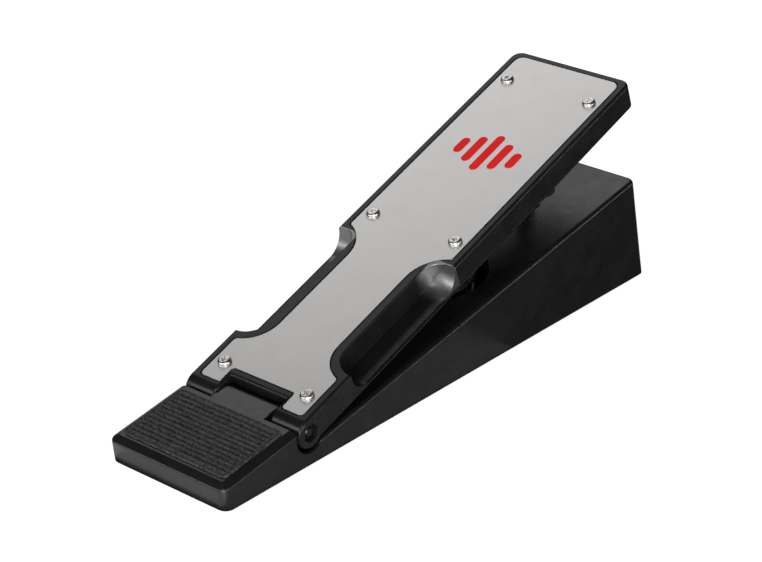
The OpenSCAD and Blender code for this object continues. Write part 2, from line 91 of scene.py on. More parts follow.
WELL_Y, WELL_R, WELL_FLOOR = 166.9, 20.75, 6.0
SPRING_Y = WELL_Y + 2.3
JACK_Z, JACK_FACE_Y = 22.0, LENGTH - 9.5
COVER_SCREWS = [(x, y) for x in (-26, 26) for y in (26, 135, 250)]

# Heel pad and the bed that it lies in, as (half width, near edge, far edge), square to the heel's top
PAD_HALF, PAD_NEAR, PAD_FAR = 27.7, 3.4, 37.2
BED_HALF, BED_NEAR, BED_FAR = 27.8, 3.3, 37.3
PAD_SINK, PAD_TOP, PAD_RIBS = 0.8, 0.9, 13

# Footboard
BOARD_TOP, BOARD_UNDER, BOARD_REACH = 6.8, -5.1, 227.7
BOARD_EDGE_R = 1.4
NOTCH_HALF, NOTCH_FAR = 15.0, 6.0
RIM_X = 20.2
SCOOP_NEAR, SCOOP_NEAR_R = 27.5, 11.0
SCOOP_FAR, SCOOP_FAR_R, WAIST_FAR_R = 96.3, 7.5, 13.0
SCOOP_LIP_R, SCOOP_HEEL_R = 0.7, 6.4
SCOOP_FLOOR, SCOOP_BLEND_R, SCOOP_RAMP_R, SCOOP_RIM_R = -3.0, 0.5, 9.8, 0.6
PLATE_T, PLATE_HALF, PLATE_NEAR, PLATE_FAR = 1.0, 27.6, 1.1, 224.3
PLATE_WAIST, PLATE_NOTCH_HALF, PLATE_NOTCH_FAR = 15.8, 16.8, 9.9
PLATE_GAP = 0.55
SCREW_X, SCREW_ROWS = 22.3, (10.8, 109.2, 207.6)

# Hinge bolt: depth of the pockets in the ears, thickness of the nut, sizes across flats
POCKET_DEPTH, NUT_T = 4.2, 2.2
NUT_FLATS, NUT_POCKET_FLATS, HEX_SOCKET_FLATS = 7, 7.3, 2.5
SOCKET_NUT_FLATS = 12

# Camera, as fitted to the photo: metres, degrees below the horizon, degrees turned from +Y, millimetres
CAMERA_PLACE = (0.5474, -0.6574, 0.4496)
CAMERA_DOWN, CAMERA_TURN, CAMERA_LENS, SENSOR_WIDTH = 25.70, 40.28, 106.67, 36

# Studio, in metres
LAMP_DISTANCE, CARD_HEIGHT, FLOOR_SIZE = 1.8, 0.001, 30
FLOOR_GLOW = 0.92


def heel_at(y):
    return HEEL_TOP[0] + HEEL_TOP[1] * y


def ramp_at(y):
    return RAMP_TOP[0] + RAMP_TOP[1] * y


def rear_wall_at(z):
    return LENGTH - REAR_LEAN * z / REAR_TOP


HEEL = BASE @ Matrix.Translation((0, 0, heel_at(0))) @ Matrix.Rotation(math.atan(HEEL_RISE), 4, "X")


# ---------------------------------------------------------------- camera and studio

def make_camera():
    """The camera stands to the right of the heel end and looks down along the pedal."""
    data = bpy.data.cameras.new("camera")
    data.lens = CAMERA_LENS
    data.sensor_width = SENSOR_WIDTH
    data.clip_start = 0.01
    camera = bpy.data.objects.new("camera", data)
    camera.location = CAMERA_PLACE
    camera.rotation_euler = (math.radians(90 - CAMERA_DOWN), 0, math.radians(CAMERA_TURN))
    bpy.context.scene.collection.objects.link(camera)
    bpy.context.scene.camera = camera


def area_lamp(name, size, radiance):
    """Rectangular lamp that the camera doesn't see, still to be placed."""
    data = bpy.data.lights.new(name, "AREA")
    data.shape = "RECTANGLE"
    data.size, data.size_y = size
    data.energy = radiance * math.pi * size[0] * size[1]
    lamp = bpy.data.objects.new(name, data)
    lamp.visible_camera = False
    bpy.context.scene.collection.objects.link(lamp)
    return lamp


def soft_box(name, azimuth, elevation, size, radiance):
    """Lamp that faces the pedal. Azimuth counts from +X towards +Y, in degrees."""
    round_about, up = math.radians(azimuth), math.radians(elevation)
    away = Vector((math.cos(round_about) * math.cos(up), math.sin(round_about) * math.cos(up), math.sin(up)))
    lamp = area_lamp(name, size, radiance)
    lamp.location = away * LAMP_DISTANCE
    lamp.rotation_euler = away.to_track_quat("Z", "Y").to_euler()


def floor_card(name, x, y, size, radiance):
    """Lamp that lies on the floor beside the pedal and throws light up at its walls, as a pale card does."""
    card = area_lamp(name, size, radiance)
    card.location = (x, y, CARD_HEIGHT)
    card.rotation_euler = (math.pi, 0, 0)


def make_studio():
    """A plain pale floor, soft boxes all round, cards on the floor beside the walls, and a white surround."""
    bpy.ops.mesh.primitive_plane_add(size=FLOOR_SIZE)
    floor = bpy.context.object
    floor.name = "floor"
    paper = material("studio_floor", (0.5, 0.5, 0.5), 0.0, 0.9)
    shader = paper.node_tree.nodes["Principled BSDF"]
    shader.inputs["Emission Color"].default_value = (1, 1, 1, 1)
    shader.inputs["Emission Strength"].default_value = FLOOR_GLOW
    floor.data.materials.append(paper)
    floor.visible_glossy = False
    soft_box("back_wall", 139, 44, (1.7, 0.9), 1.25)
    soft_box("front_low", 308, 8, (0.9, 0.45), 10)
    soft_box("front_right", 356, 9, (0.6, 0.4), 8.5)
    soft_box("front_left", 260, 17, (0.5, 0.9), 4.0)
    floor_card("front_card", -0.03, base_low.y - 0.061, (0.18, 0.12), 0.75)
    floor_card("side_card", HALF * MM + 0.061, -0.06, (0.12, 0.2), 0.16)
    floor_card("left_card", -HALF * MM - 0.15, 0, (0.3, 0.4), 0.45)
    floor_card("rear_card", -0.085, base_high.y + 0.08, (0.23, 0.14), 0.8)
    floor_card("corner_card", HALF * MM + 0.03, base_low.y - 0.03, (0.05, 0.05), 2.5)
    soft_box("front_high", 320, 28, (0.9, 0.4), 1.6)
    soft_box("spot", 292, 44, (0.25, 0.25), 30)
    soft_box("side_low", 36, 8, (0.9, 0.12), 9.0)
    soft_box("cove_light", 236, 20, (0.45, 0.4), 6.5)
    world = bpy.data.worlds.new("surround")
    bpy.context.scene.world = world
    world.use_nodes = True
    world.node_tree.nodes["Background"].inputs["Color"].default_value = (1, 1, 1, 1)
    world.cycles_visibility.diffuse = False
    world.cycles_visibility.glossy = False
    bpy.context.scene.view_settings.view_transform = "Standard"


# ---------------------------------------------------------------- materials

def material(name, colour, metallic, roughness, *, grain=None, mottle=0.0, mottle_size=9, rough_spread=0.0,
             brushed=None, specular=0.5):
    """Principled surface. grain is (size in mm, strength); mottle varies the colour and rough_spread the
    gloss; brushed is (grain size in mm, strength, axis drawn out) for a directional finish."""
    made = bpy.data.materials.new(name)
    made.use_nodes = True
    nodes, links = made.node_tree.nodes, made.node_tree.links
    shader = nodes["Principled BSDF"]
    shader.inputs["Base Color"].default_value = (*colour, 1)
    shader.inputs["Metallic"].default_value = metallic
    shader.inputs["Roughness"].default_value = roughness
    shader.inputs["Specular IOR Level"].default_value = specular
    where = nodes.new("ShaderNodeTexCoord").outputs["Object"]

    def noise(size_mm, detail=3.0, stretch=(1, 1, 1)):
        mapping = nodes.new("ShaderNodeMapping")
        mapping.inputs["Scale"].default_value = stretch
        links.new(where, mapping.inputs["Vector"])
        node = nodes.new("ShaderNodeTexNoise")
        node.inputs["Scale"].default_value = 1 / (size_mm * MM)
        node.inputs["Detail"].default_value = detail
        links.new(mapping.outputs["Vector"], node.inputs["Vector"])
        return node.outputs["Fac"]

    def spread(source, low, high, socket):
        remap = nodes.new("ShaderNodeMapRange")
        remap.inputs["From Min"].default_value = 0.3
        remap.inputs["From Max"].default_value = 0.7
        remap.inputs["To Min"].default_value = low
        remap.inputs["To Max"].default_value = high
        links.new(source, remap.inputs["Value"])
        if socket is not None:
            links.new(remap.outputs["Result"], socket)
        return remap.outputs["Result"]

    if mottle:
        ramp = nodes.new("ShaderNodeValToRGB")
        ramp.color_ramp.elements[0].color = (*[c * (1 - mottle) for c in colour], 1)
        ramp.color_ramp.elements[1].color = (*[min(1, c * (1 + mottle)) for c in colour], 1)
        ramp.color_ramp.elements[0].position = 0.38
        ramp.color_ramp.elements[1].position = 0.62
        links.new(noise(mottle_size, 4), ramp.inputs["Fac"])
        links.new(ramp.outputs["Color"], shader.inputs["Base Color"])
    if rough_spread:
        spread(noise(5, 5), roughness - rough_spread, roughness + rough_spread, shader.inputs["Roughness"])
    height = None
    if brushed:
        size, strength, axis = brushed
        stretch = [1, 1, 1]
        stretch[axis] = 0.02
        height, depth = noise(size, 2, stretch), strength
    elif grain:
        size, strength = grain
        height, depth = noise(size, 2), strength
    if height is not None:
        bump = nodes.new("ShaderNodeBump")
        bump.inputs["Strength"].default_value = min(1, depth)
        bump.inputs["Distance"].default_value = 0.1 * MM * max(1, depth)
        links.new(height, bump.inputs["Height"])
        links.new(bump.outputs["Normal"], shader.inputs["Normal"])
    return made


def polish_scoops(made):
    """Glossy coat on the hollow far end of each finger scoop, which shines in the photo."""
    nodes, links = made.node_tree.nodes, made.node_tree.links
    shader = nodes["Principled BSDF"]
    board = nodes.new("ShaderNodeMapping")
    board.vector_type = "TEXTURE"
    board.inputs["Location"].default_value = hinge["pos_m"]
    board.inputs["Rotation"].default_value = (BOARD_TILT, 0, 0)
    board.inputs["Scale"].default_value = (MM, MM, MM)
    links.new(nodes.new("ShaderNodeTexCoord").outputs["Object"], board.inputs["Vector"])
    place = nodes.new("ShaderNodeSeparateXYZ")
    links.new(board.outputs["Vector"], place.inputs["Vector"])
    across = nodes.new("ShaderNodeMath")
    across.operation = "ABSOLUTE"
    links.new(place.outputs["X"], across.inputs[0])
    sweep_start = SCOOP_FAR - SCOOP_RAMP_R
    edges = ((across.outputs[0], RIM_X - 0.5, RIM_X),
             (place.outputs["Y"], sweep_start - 3, sweep_start + 4),
             (place.outputs["Y"], SCOOP_FAR + 0.7, SCOOP_FAR + 0.6),
             (place.outputs["Z"], SCOOP_FLOOR - 0.3, SCOOP_FLOOR - 0.2))
    mask = None
    for source, low, high in edges:
        edge = nodes.new("ShaderNodeMapRange")
        edge.inputs["From Min"].default_value = low
        edge.inputs["From Max"].default_value = high
        links.new(source, edge.inputs["Value"])
        if mask is None:
            mask = edge.outputs["Result"]
            continue
        both = nodes.new("ShaderNodeMath")
        both.operation = "MULTIPLY"
        links.new(mask, both.inputs[0])
        links.new(edge.outputs["Result"], both.inputs[1])
        mask = both.outputs[0]
    links.new(mask, shader.inputs["Coat Weight"])
    shader.inputs["Coat Roughness"].default_value = 0.42
    shader.inputs["Coat IOR"].default_value = 3.6
    return made


def make_materials():
    """One finished material for each of the record's slots."""
    return {
        "base_plastic": material("base_plastic", (0.009, 0.009, 0.0093), 0, 0.30, grain=(0.35, 0.08),
                                 mottle=0.15, rough_spread=0.04),
        "board_plastic": polish_scoops(material("board_plastic", (0.010, 0.010, 0.0103), 0, 0.27,
                                                grain=(0.35, 0.06), mottle=0.15, rough_spread=0.03,
                                                specular=0.3)),
        "pad_rubber": material("pad_rubber", (0.034, 0.034, 0.036), 0, 0.50, grain=(0.8, 3.5), mottle=0.85,
                               mottle_size=1.0, rough_spread=0.12),
        "black_rubber": material("black_rubber", (0.014, 0.014, 0.014), 0, 0.65, grain=(0.3, 0.3),
                                 mottle=0.3, rough_spread=0.06),
        "plate_steel": material("plate_steel", (0.74, 0.73, 0.72), 1, 0.40, mottle=0.01, rough_spread=0.01,
                                brushed=(0.12, 0.05, 1)),
        "cover_steel": material("cover_steel", (0.02, 0.02, 0.021), 0, 0.5, grain=(0.5, 0.35), mottle=0.2,
                                rough_spread=0.08),
        "fastener_steel": material("fastener_steel", (0.78, 0.77, 0.75), 1, 0.33, grain=(0.2, 0.05),
                                   mottle=0.06, rough_spread=0.05),
        "black_zinc": material("black_zinc", (0.12, 0.12, 0.122), 1, 0.34, grain=(0.2, 0.08), mottle=0.2,
                               rough_spread=0.06),
        "spring_steel": material("spring_steel", (0.22, 0.22, 0.22), 1, 0.42, grain=(0.2, 0.1), mottle=0.1,
                                 rough_spread=0.07),
        "hook_steel": material("hook_steel", (0.50, 0.50, 0.50), 1, 0.36, mottle=0.12, rough_spread=0.08,
                               brushed=(0.15, 0.15, 2)),
        "nickel": material("nickel", (0.72, 0.70, 0.67), 1, 0.18, grain=(0.2, 0.05), mottle=0.05,
                           rough_spread=0.05),
        "bush_brass": material("bush_brass", (0.72, 0.52, 0.22), 1, 0.3, mottle=0.12, rough_spread=0.08,
                               brushed=(0.12, 0.1, 0)),
        "contact_brass": material("contact_brass", (0.80, 0.60, 0.28), 1, 0.25, grain=(0.2, 0.08),
                                  mottle=0.1, rough_spread=0.06),
        "inner_plastic": material("inner_plastic", (0.03, 0.03, 0.032), 0, 0.45, grain=(0.3, 0.15),
                                  mottle=0.2, rough_spread=0.05),
        "switch_plastic": material("switch_plastic", (0.025, 0.025, 0.027), 0, 0.42, grain=(0.25, 0.15),
                                   mottle=0.2, rough_spread=0.05),
        "button_plastic": material("button_plastic", (0.55, 0.03, 0.03), 0, 0.3, grain=(0.3, 0.05),
                                   mottle=0.1, rough_spread=0.04),
        "washer_nylon": material("washer_nylon", (0.78, 0.76, 0.70), 0, 0.45, grain=(0.3, 0.1),
                                 mottle=0.06, rough_spread=0.05),
        "mark_ink": material("mark_ink", (0.98, 0.015, 0.017), 0, 0.5, grain=(0.3, 0.04), mottle=0.04,
                             rough_spread=0.04, specular=0.1),
        "red_lead": material("red_lead", (0.5, 0.02, 0.02), 0, 0.35, grain=(0.5, 0.08), mottle=0.1,
                             rough_spread=0.05),
        "black_lead": material("black_lead", (0.02, 0.02, 0.02), 0, 0.35, grain=(0.5, 0.08), mottle=0.2,
                               rough_spread=0.05),
    }


# ---------------------------------------------------------------- outlines

def outline(corners, inset=0.0, steps=8):
    """Closed outline through (u, v, radius) corners, counter-clockwise, moved inwards by inset.
    A fourth value of 0 keeps the edge that leaves that corner where it is. Every corner gives steps + 1
    points."""
    count = len(corners)
    points = [Vector(c[:2]) for c in corners]
    along = [(points[(i + 1) % count] - points[i]).normalized() for i in range(count)]
    inward = [Vector((-d.y, d.x)) for d in along]
    moves = [inset * (c[3] if len(c) > 3 else 1) for c in corners]
    made = []
    for i, corner in enumerate(corners):
        before, after = inward[i - 1], inward[i]
        a, b, c = moves[i - 1], moves[i], before.dot(after)
        moved = points[i] + ((a - b * c) * before + (b - a * c) * after) / (1 - c * c)
        cross = along[i - 1].x * along[i].y - along[i - 1].y * along[i].x
        turn = math.atan2(cross, along[i - 1].dot(along[i]))
        side = 1 if turn > 0 else -1
        radius = max(corner[2] - side * inset, 0.0) if corner[2] else 0.0
        centre = moved + side * radius * (before + after) / (1 + c)
        start = -side * radius * before
        for k in range(steps + 1):
            angle = turn * k / steps
            made.append(centre + Vector((start.x * math.cos(angle) - start.y * math.sin(angle),
                                         start.x * math.sin(angle) + start.y * math.cos(angle))))
    return made


def circle(radius, steps=64, centre=(0, 0)):
    return [Vector((centre[0] + radius * math.cos(math.tau * k / steps),
                    centre[1] + radius * math.sin(math.tau * k / steps))) for k in range(steps)]


def arc(centre, radius, first, last, steps=10):
    """Points of an arc, with angles in degrees."""
    angles = [math.radians(first + (last - first) * k / steps) for k in range(steps + 1)]
    return [Vector((centre[0] + radius * math.cos(a), centre[1] + radius * math.sin(a))) for a in angles]


def rectangle(u0, u1, v0, v1, radius=0.0):
    return [(u0, v0, radius), (u1, v0, radius), (u1, v1, radius), (u0, v1, radius)]


def hexagon(across_flats, radius=0.0, centre=0.0):
    """Corners of a hexagon with one corner at +u, and its middle at v = centre."""
    reach = across_flats / math.sqrt(3)
    angles = [math.radians(60 * k) for k in range(6)]
    return [(reach * math.cos(a), centre + reach * math.sin(a), radius) for a in angles]


def quarter(radius, steps=6):
    """(inset, distance below the edge) down a rounded edge, from the wall to the face."""
    angles = [math.pi / 2 * k / steps for k in range(steps + 1)]
    return [(radius * (1 - math.cos(a)), radius * (1 - math.sin(a))) for a in angles]


# ---------------------------------------------------------------- solids

def solid(name, loops):
    """Closed mesh through loops of equal length, each counter-clockwise seen from the last one."""
    bm = bmesh.new()
    rings = [[bm.verts.new(p) for p in loop] for loop in loops]
    for low, high in zip(rings, rings[1:]):
        for i, vertex in enumerate(low):
            j = (i + 1) % len(low)
            bm.faces.new((vertex, low[j], high[j], high[i]))
    bm.faces.new(rings[0][::-1])
    bm.faces.new(rings[-1])
    bmesh.ops.remove_doubles(bm, verts=bm.verts, dist=2e-4)
    bmesh.ops.dissolve_degenerate(bm, edges=bm.edges, dist=1e-5)
    mesh = bpy.data.meshes.new(name)
    bm.to_mesh(mesh)
    bm.free()
    piece = bpy.data.objects.new(name, mesh)
    bpy.context.scene.collection.objects.link(piece)
    return piece


def standing(points, w):
    """Outline points (u, v) at height w, or at w(u, v)."""
    return [Vector((p.x, p.y, w(p.x, p.y) if callable(w) else w)) for p in points]


def lying(points, w):
    """Outline points (y, z) at x = w: an outline drawn on the pedal's side."""
    return [Vector((w, p.x, p.y)) for p in points]


def prism(name, corners, low, high, low_r=0.0, high_r=0.0, place=standing, steps=8):
    """Block between w = low and w = high with rounded edges at both ends."""
    first = [(i, low + d) for i, d in reversed(quarter(low_r))] if low_r else [(0, low)]
    last = [(i, high - d) for i, d in quarter(high_r)] if high_r else [(0, high)]
    return solid(name, [place(outline(corners, inset, steps), w) for inset, w in first + last])


def lathe(name, profile, steps=48, place=standing):
    """Round solid through (radius, w) points, from the lowest end to the highest."""
    return solid(name, [place(circle(max(radius, 0.01), steps), w) for radius, w in profile])


def shoulder(steps=6):
    """(inset, distance below the top) from the wall to the top: a small round, then a slope."""
    tilt = SHOULDER_SLOPE
    slope_start = SHOULDER_R * (1 - math.sin(tilt))
    angles = [math.pi / 2 + (tilt - math.pi / 2) * k / steps for k in range(steps + 1)]
    made = [(SHOULDER_R * (1 - math.sin(a)), SHOULDER_DROP - SHOULDER_R * math.cos(a)) for a in angles]
    run = made[-1][1] / math.tan(tilt)
    crest = slope_start + run
    return made + [(crest - 0.25, 0.14), (crest + 0.05, 0.02), (crest + 0.3, 0)]


def sloped_block(name, corners, top, edge, lean, foot_r=0.5):
    """Block from z = 0 to the sloping plane top = (height, rise). edge is its (inset, drop) from wall to top.
    lean(y) slants the walls towards the heel by that much for each millimetre of height."""
    def placed(inset, drop):
        made = []
        for p in outline(corners, inset):
            k = lean(p.y)
            z = (top[0] + top[1] * p.y - drop) / (1 + top[1] * k)
            made.append(Vector((p.x, p.y - k * z, z)))
        return made

    def foot(inset, z):
        return [Vector((p.x, p.y - lean(p.y) * z, z)) for p in outline(corners, inset)]

    loops = [foot(inset, drop) for inset, drop in reversed(quarter(foot_r, 3))]
    loops += [placed(inset, drop) for inset, drop in edge]
    return solid(name, loops)


def combine(body, others, operation):
    for other in others:
        cut = body.modifiers.new("combine", "BOOLEAN")
        cut.operation, cut.solver, cut.object = operation, "MANIFOLD", other
        evaluated = body.evaluated_get(bpy.context.evaluated_depsgraph_get())
        mesh = bpy.data.meshes.new_from_object(evaluated)
        body.modifiers.clear()
        body.data = mesh
        bpy.data.objects.remove(other)
    return body


def cut_away(body, *others):
    return combine(body, others, "DIFFERENCE")


def add_to(body, *others):
    return combine(body, others, "UNION")


def keep_inside(body, *others):
    return combine(body, others, "INTERSECT")


def merged(name, pieces):
    """One object from several closed solids that don't touch."""
    bm = bmesh.new()
    for piece in pieces:
        piece.data.transform(piece.matrix_world)
        bm.from_mesh(piece.data)
        bpy.data.objects.remove(piece)
    mesh = bpy.data.meshes.new(name)
    bm.to_mesh(mesh)
    bm.free()
    made = bpy.data.objects.new(name, mesh)
    bpy.context.scene.collection.objects.link(made)
    return made


def moved(piece, matrix):
    piece.data.transform(matrix)
    return piece


def install(piece, axes, body, slot, *nodes, sharp=32):
    """Carries a piece into the frame, shades it, gives it the material of its slot, hangs it on the body that it
    rides on and hides the CAD nodes that it stands for.
    """
    bm = bmesh.new()
    bm.from_mesh(piece.data)
    bmesh.ops.remove_doubles(bm, verts=bm.verts, dist=5e-4)
    bmesh.ops.dissolve_limit(bm, angle_limit=math.radians(0.05), verts=bm.verts, edges=bm.edges)
    bm.to_mesh(piece.data)
    bm.free()
    piece.data.transform(axes)
    piece.data.shade_smooth()
    piece.data.set_sharp_from_angle(angle=math.radians(sharp))
    weighted = piece.modifiers.new("even_shading", "WEIGHTED_NORMAL")
    weighted.keep_sharp = True
    piece.data.materials.clear()
    piece.data.materials.append(materials[slot])
    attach(piece, body)
    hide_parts(*nodes)
    return piece


# ---------------------------------------------------------------- base housing

def relief(side):
    """Room for an ear: a hollow round the hinge axis, with a rounded edge where it leaves the side."""
    wall_y = HINGE.y - RELIEF_R
    rising = math.radians(55)
    reach = 16.0
    away = Vector((HINGE.y + RELIEF_R * math.sin(rising), HINGE.z - RELIEF_R * math.cos(rising)))
    deep = away.y - (away.x - wall_y) * math.tan(rising)
    corners = [(wall_y, deep, RELIEF_R), (away.x + reach, away.y + reach * math.tan(rising), 0),
               (HEEL_BACK_Y - 20, away.y + reach * math.tan(rising), 0),
               (HEEL_BACK_Y - 20, heel_at(HEEL_BACK_Y - 20) + 0.02, 0),
               (wall_y, heel_at(wall_y) + 0.02, 0.9)]
    stations = [(0, KNUCKLE_HALF), (0, HALF - 0.9), (-0.12, HALF - 0.45), (-0.5, HALF + 0.02),
                (-0.9, HALF + 1)]
    if side < 0:
        stations = [(inset, -x) for inset, x in reversed(stations)]
    return solid("relief", [lying(outline(corners, inset, 16), x) for inset, x in stations])


def along_y(points, w):
    """Outline points (x, z) at y = w, or at w(z), with the loop turned so that it faces +Y."""
    return [Vector((-p.x, w(p.y) if callable(w) else w, p.y)) for p in points]


def make_housing():
    def front_lean(y):
        return HEEL_LEAN / HEEL_FRONT_Z * min(max((34 - y) / 20, 0), 1)

    def rear_lean(y):
        return REAR_LEAN / REAR_TOP * min(max((y - 225) / 30, 0), 1)

    heel = sloped_block("housing", [(-HALF, 0, CORNER_R), (HALF, 0, CORNER_R), (HALF, 46, 0), (-HALF, 46, 0)],
                        HEEL_TOP, shoulder(), front_lean)
    ramp = sloped_block("ramp", [(-HALF, 36, 0, 0), (HALF, 36, 0), (HALF, LENGTH, CORNER_R),
                                 (-HALF, LENGTH, CORNER_R)], RAMP_TOP, quarter(RAMP_EDGE_R), rear_lean)
    shell = add_to(heel, ramp)
    cut_away(shell, relief(1), relief(-1))

    inner = HALF - WALL
    skin = WALL * math.hypot(1, RAMP_RISE)
    heel_room = [(WALL + 0.4, -1, 0), (HEEL_BACK_Y - 4.7, -1, 0),
                 (HEEL_BACK_Y - 4.7, heel_at(HEEL_BACK_Y - 4.7) - 3.4, 1), (WALL, heel_at(WALL) - 3.4, 1)]
    ramp_room = [(62, -1, 0), (LENGTH - WALL, -1, 0),
                 (LENGTH - REAR_LEAN - WALL, ramp_at(LENGTH - REAR_LEAN - WALL) - skin, 1.5),
                 (62, ramp_at(62) - skin, 1)]
    cut_away(shell, prism("heel_room", heel_room, -inner, inner, place=lying),
             prism("ramp_room", ramp_room, -inner, inner, place=lying))

    knuckle_r = (heel_at(HINGE.y) - HINGE.z) / math.hypot(1, HEEL_RISE)
    knuckle = [(36, 4, 0), (HINGE.y + knuckle_r, 4, 0),
               (HINGE.y + knuckle_r, heel_at(HINGE.y + knuckle_r), knuckle_r), (36, heel_at(36), 0)]
    add_to(shell, prism("knuckle", knuckle, -KNUCKLE_HALF, KNUCKLE_HALF, 0.8, 0.8, place=lying, steps=16))

    ring = circle(WELL_R + 2.4, 96, (0, WELL_Y))
    add_to(shell, solid("well_tube", [standing(ring, WELL_FLOOR - 2.4),
                                      standing(ring, lambda x, y: ramp_at(y) - 1.2)]))
    for x, y in COVER_SCREWS:
        add_to(shell, moved(lathe("boss", [(3.5, 2), (3.5, 13)], 32), Matrix.Translation((x, y, 0))))
    boss = circle(11, 64, (0, JACK_Z))
    add_to(shell, solid("jack_boss", [along_y(boss, JACK_FACE_Y - 3),
                                      along_y(boss, lambda z: rear_wall_at(z) - 1)]))

    lip = [(0, -30), (0, -0.7), (0.07, -0.4), (0.3, -0.1), (0.75, 0.03), (2, 0.6)]
    well = [standing(circle(WELL_R, 96, (0, WELL_Y)), WELL_FLOOR)]
    well += [standing(circle(WELL_R + grow, 96, (0, WELL_Y)), lambda x, y, h=height: ramp_at(y) + h)
             for grow, height in lip[1:]]
    slot = rectangle(-6.5, 6.5, 220.5, 230, 1.5)
    window = rectangle(-5, 5, 95.5, 109, 1.5)
    holes = [solid("well", well)]
    holes += [prism("slot", hole, ramp_at(hole[0][1]) - 8, ramp_at(hole[0][1]) + 8)
              for hole in (slot, window)]
    recess = [(8.5, -0.6), (8.6, -0.25), (8.9, 0.02), (10, 1)]
    holes.append(solid("jack_recess", [along_y(circle(8.5, 64, (0, JACK_Z)), JACK_FACE_Y)] + [
        along_y(circle(radius, 64, (0, JACK_Z)), lambda z, h=height: rear_wall_at(z) + h)
        for radius, height in recess]))
    holes.append(solid("jack_hole", [along_y(circle(4.8, 48, (0, JACK_Z)), y)
                                     for y in (JACK_FACE_Y - 10, JACK_FACE_Y + 2)]))
    holes.append(solid("hinge_bore", [lying(circle(3.2, 48, (HINGE.y, HINGE.z)), x) for x in (-16, 16)]))
    cover = rectangle(1.6 - HALF, HALF - 1.6, 1.6, LENGTH - 1.6, CORNER_R - 1)
    holes.append(prism("cover_seat", cover, -2, 2))
    cut_away(shell, *holes)
    for x, y in COVER_SCREWS:
        cut_away(shell, moved(lathe("pilot", [(1.5, -1), (1.5, 8)], 24), Matrix.Translation((x, y, 0))))
    bed = prism("pad_bed", rectangle(-BED_HALF, BED_HALF, BED_NEAR, BED_FAR, 2.6), -PAD_SINK, 5)
    cut_away(shell, moved(bed, BASE.inverted() @ HEEL))
    install(shell, BASE, "base", "base_plastic", "base_housing")


def make_heel_pad():
    """Ribbed rubber pad with a fine raised border."""
    pad = prism("heel_pad_ribbed", rectangle(-PAD_HALF, PAD_HALF, PAD_NEAR, PAD_FAR, 2.5), -PAD_SINK, PAD_TOP,
                0.0, 0.3)
    first, last = PAD_NEAR + 1.1, PAD_FAR - 1.1
    pitch = (last - first) / PAD_RIBS
    trenches = []
    border = rectangle(-PAD_HALF + 0.75, PAD_HALF - 0.75, PAD_NEAR + 0.75, PAD_FAR - 0.75, 1.9)
    inner = rectangle(-PAD_HALF + 1.1, PAD_HALF - 1.1, PAD_NEAR + 1.1, PAD_FAR - 1.1, 1.6)
    moat = prism("moat", border, PAD_TOP - 0.35, PAD_TOP + 1)
    cut_away(moat, prism("island", inner, PAD_TOP - 1, PAD_TOP + 2))
    trenches.append(moat)
    for i in range(1, PAD_RIBS):
        y = first + i * pitch
        groove = rectangle(-PAD_HALF + 1.7, PAD_HALF - 1.7, y - 0.5, y + 0.5, 0.49)
        loops = [(0.18, PAD_TOP - 0.8), (0.04, PAD_TOP - 0.65), (0, PAD_TOP - 0.3), (-0.05, PAD_TOP - 0.12),
                 (-0.16, PAD_TOP - 0.03), (-0.3, PAD_TOP + 0.02), (-0.4, PAD_TOP + 1)]
        trenches.append(solid("groove", [standing(outline(groove, inset, 4), z) for inset, z in loops]))
    cut_away(pad, *trenches)
    install(pad, HEEL, "base", "pad_rubber", "heel_pad")


# ---------------------------------------------------------------- footboard

def plate_outline(grow, steps=12):
    """Outline of the steel plate, moved outwards by grow: straight sides, a waist between the scoops and a
    notch."""
    half, near, far = PLATE_HALF + grow, PLATE_NEAR - grow, PLATE_FAR + grow
    notch, notch_far = PLATE_NOTCH_HALF - grow, PLATE_NOTCH_FAR - grow
    near_c = (RIM_X + SCOOP_NEAR_R, SCOOP_NEAR + SCOOP_NEAR_R)
    near_r = SCOOP_NEAR_R + RIM_X - PLATE_WAIST - grow
    far_c = (RIM_X + WAIST_FAR_R, SCOOP_FAR - WAIST_FAR_R)
    far_r = WAIST_FAR_R + RIM_X - PLATE_WAIST - grow
    small, tight, wide = 1.5 + grow, 2.0 + grow, 4.0 + grow
    shoulder = 2.0 + grow
    near_a = math.degrees(math.acos((near_c[0] - half + shoulder) / (near_r + shoulder)))
    far_a = math.degrees(math.acos((far_c[0] - half + shoulder) / (far_r + shoulder)))
    near_s = near_c[1] - (near_r + shoulder) * math.sin(math.radians(near_a))
    far_s = far_c[1] + (far_r + shoulder) * math.sin(math.radians(far_a))
    right = arc((notch + small, near + small), small, 180, 270)
    right += arc((half - tight, near + tight), tight, 270, 360)
    right += arc((half - shoulder, near_s), shoulder, 0, near_a)
    right += arc(near_c, near_r, 180 + near_a, 180, steps)
    right += arc(far_c, far_r, 180, 180 - far_a, steps)
    right += arc((half - shoulder, far_s), shoulder, -far_a, 0)
    right += arc((half - wide, far - wide), wide, 0, 90)
    left = [Vector((-p.x, p.y)) for p in reversed(right)]
    hollow = 1.5 - grow
    inside = arc((hollow - notch, notch_far - hollow), hollow, 180, 90)
    return right + left + inside + [Vector((-p.x, p.y)) for p in reversed(inside)]


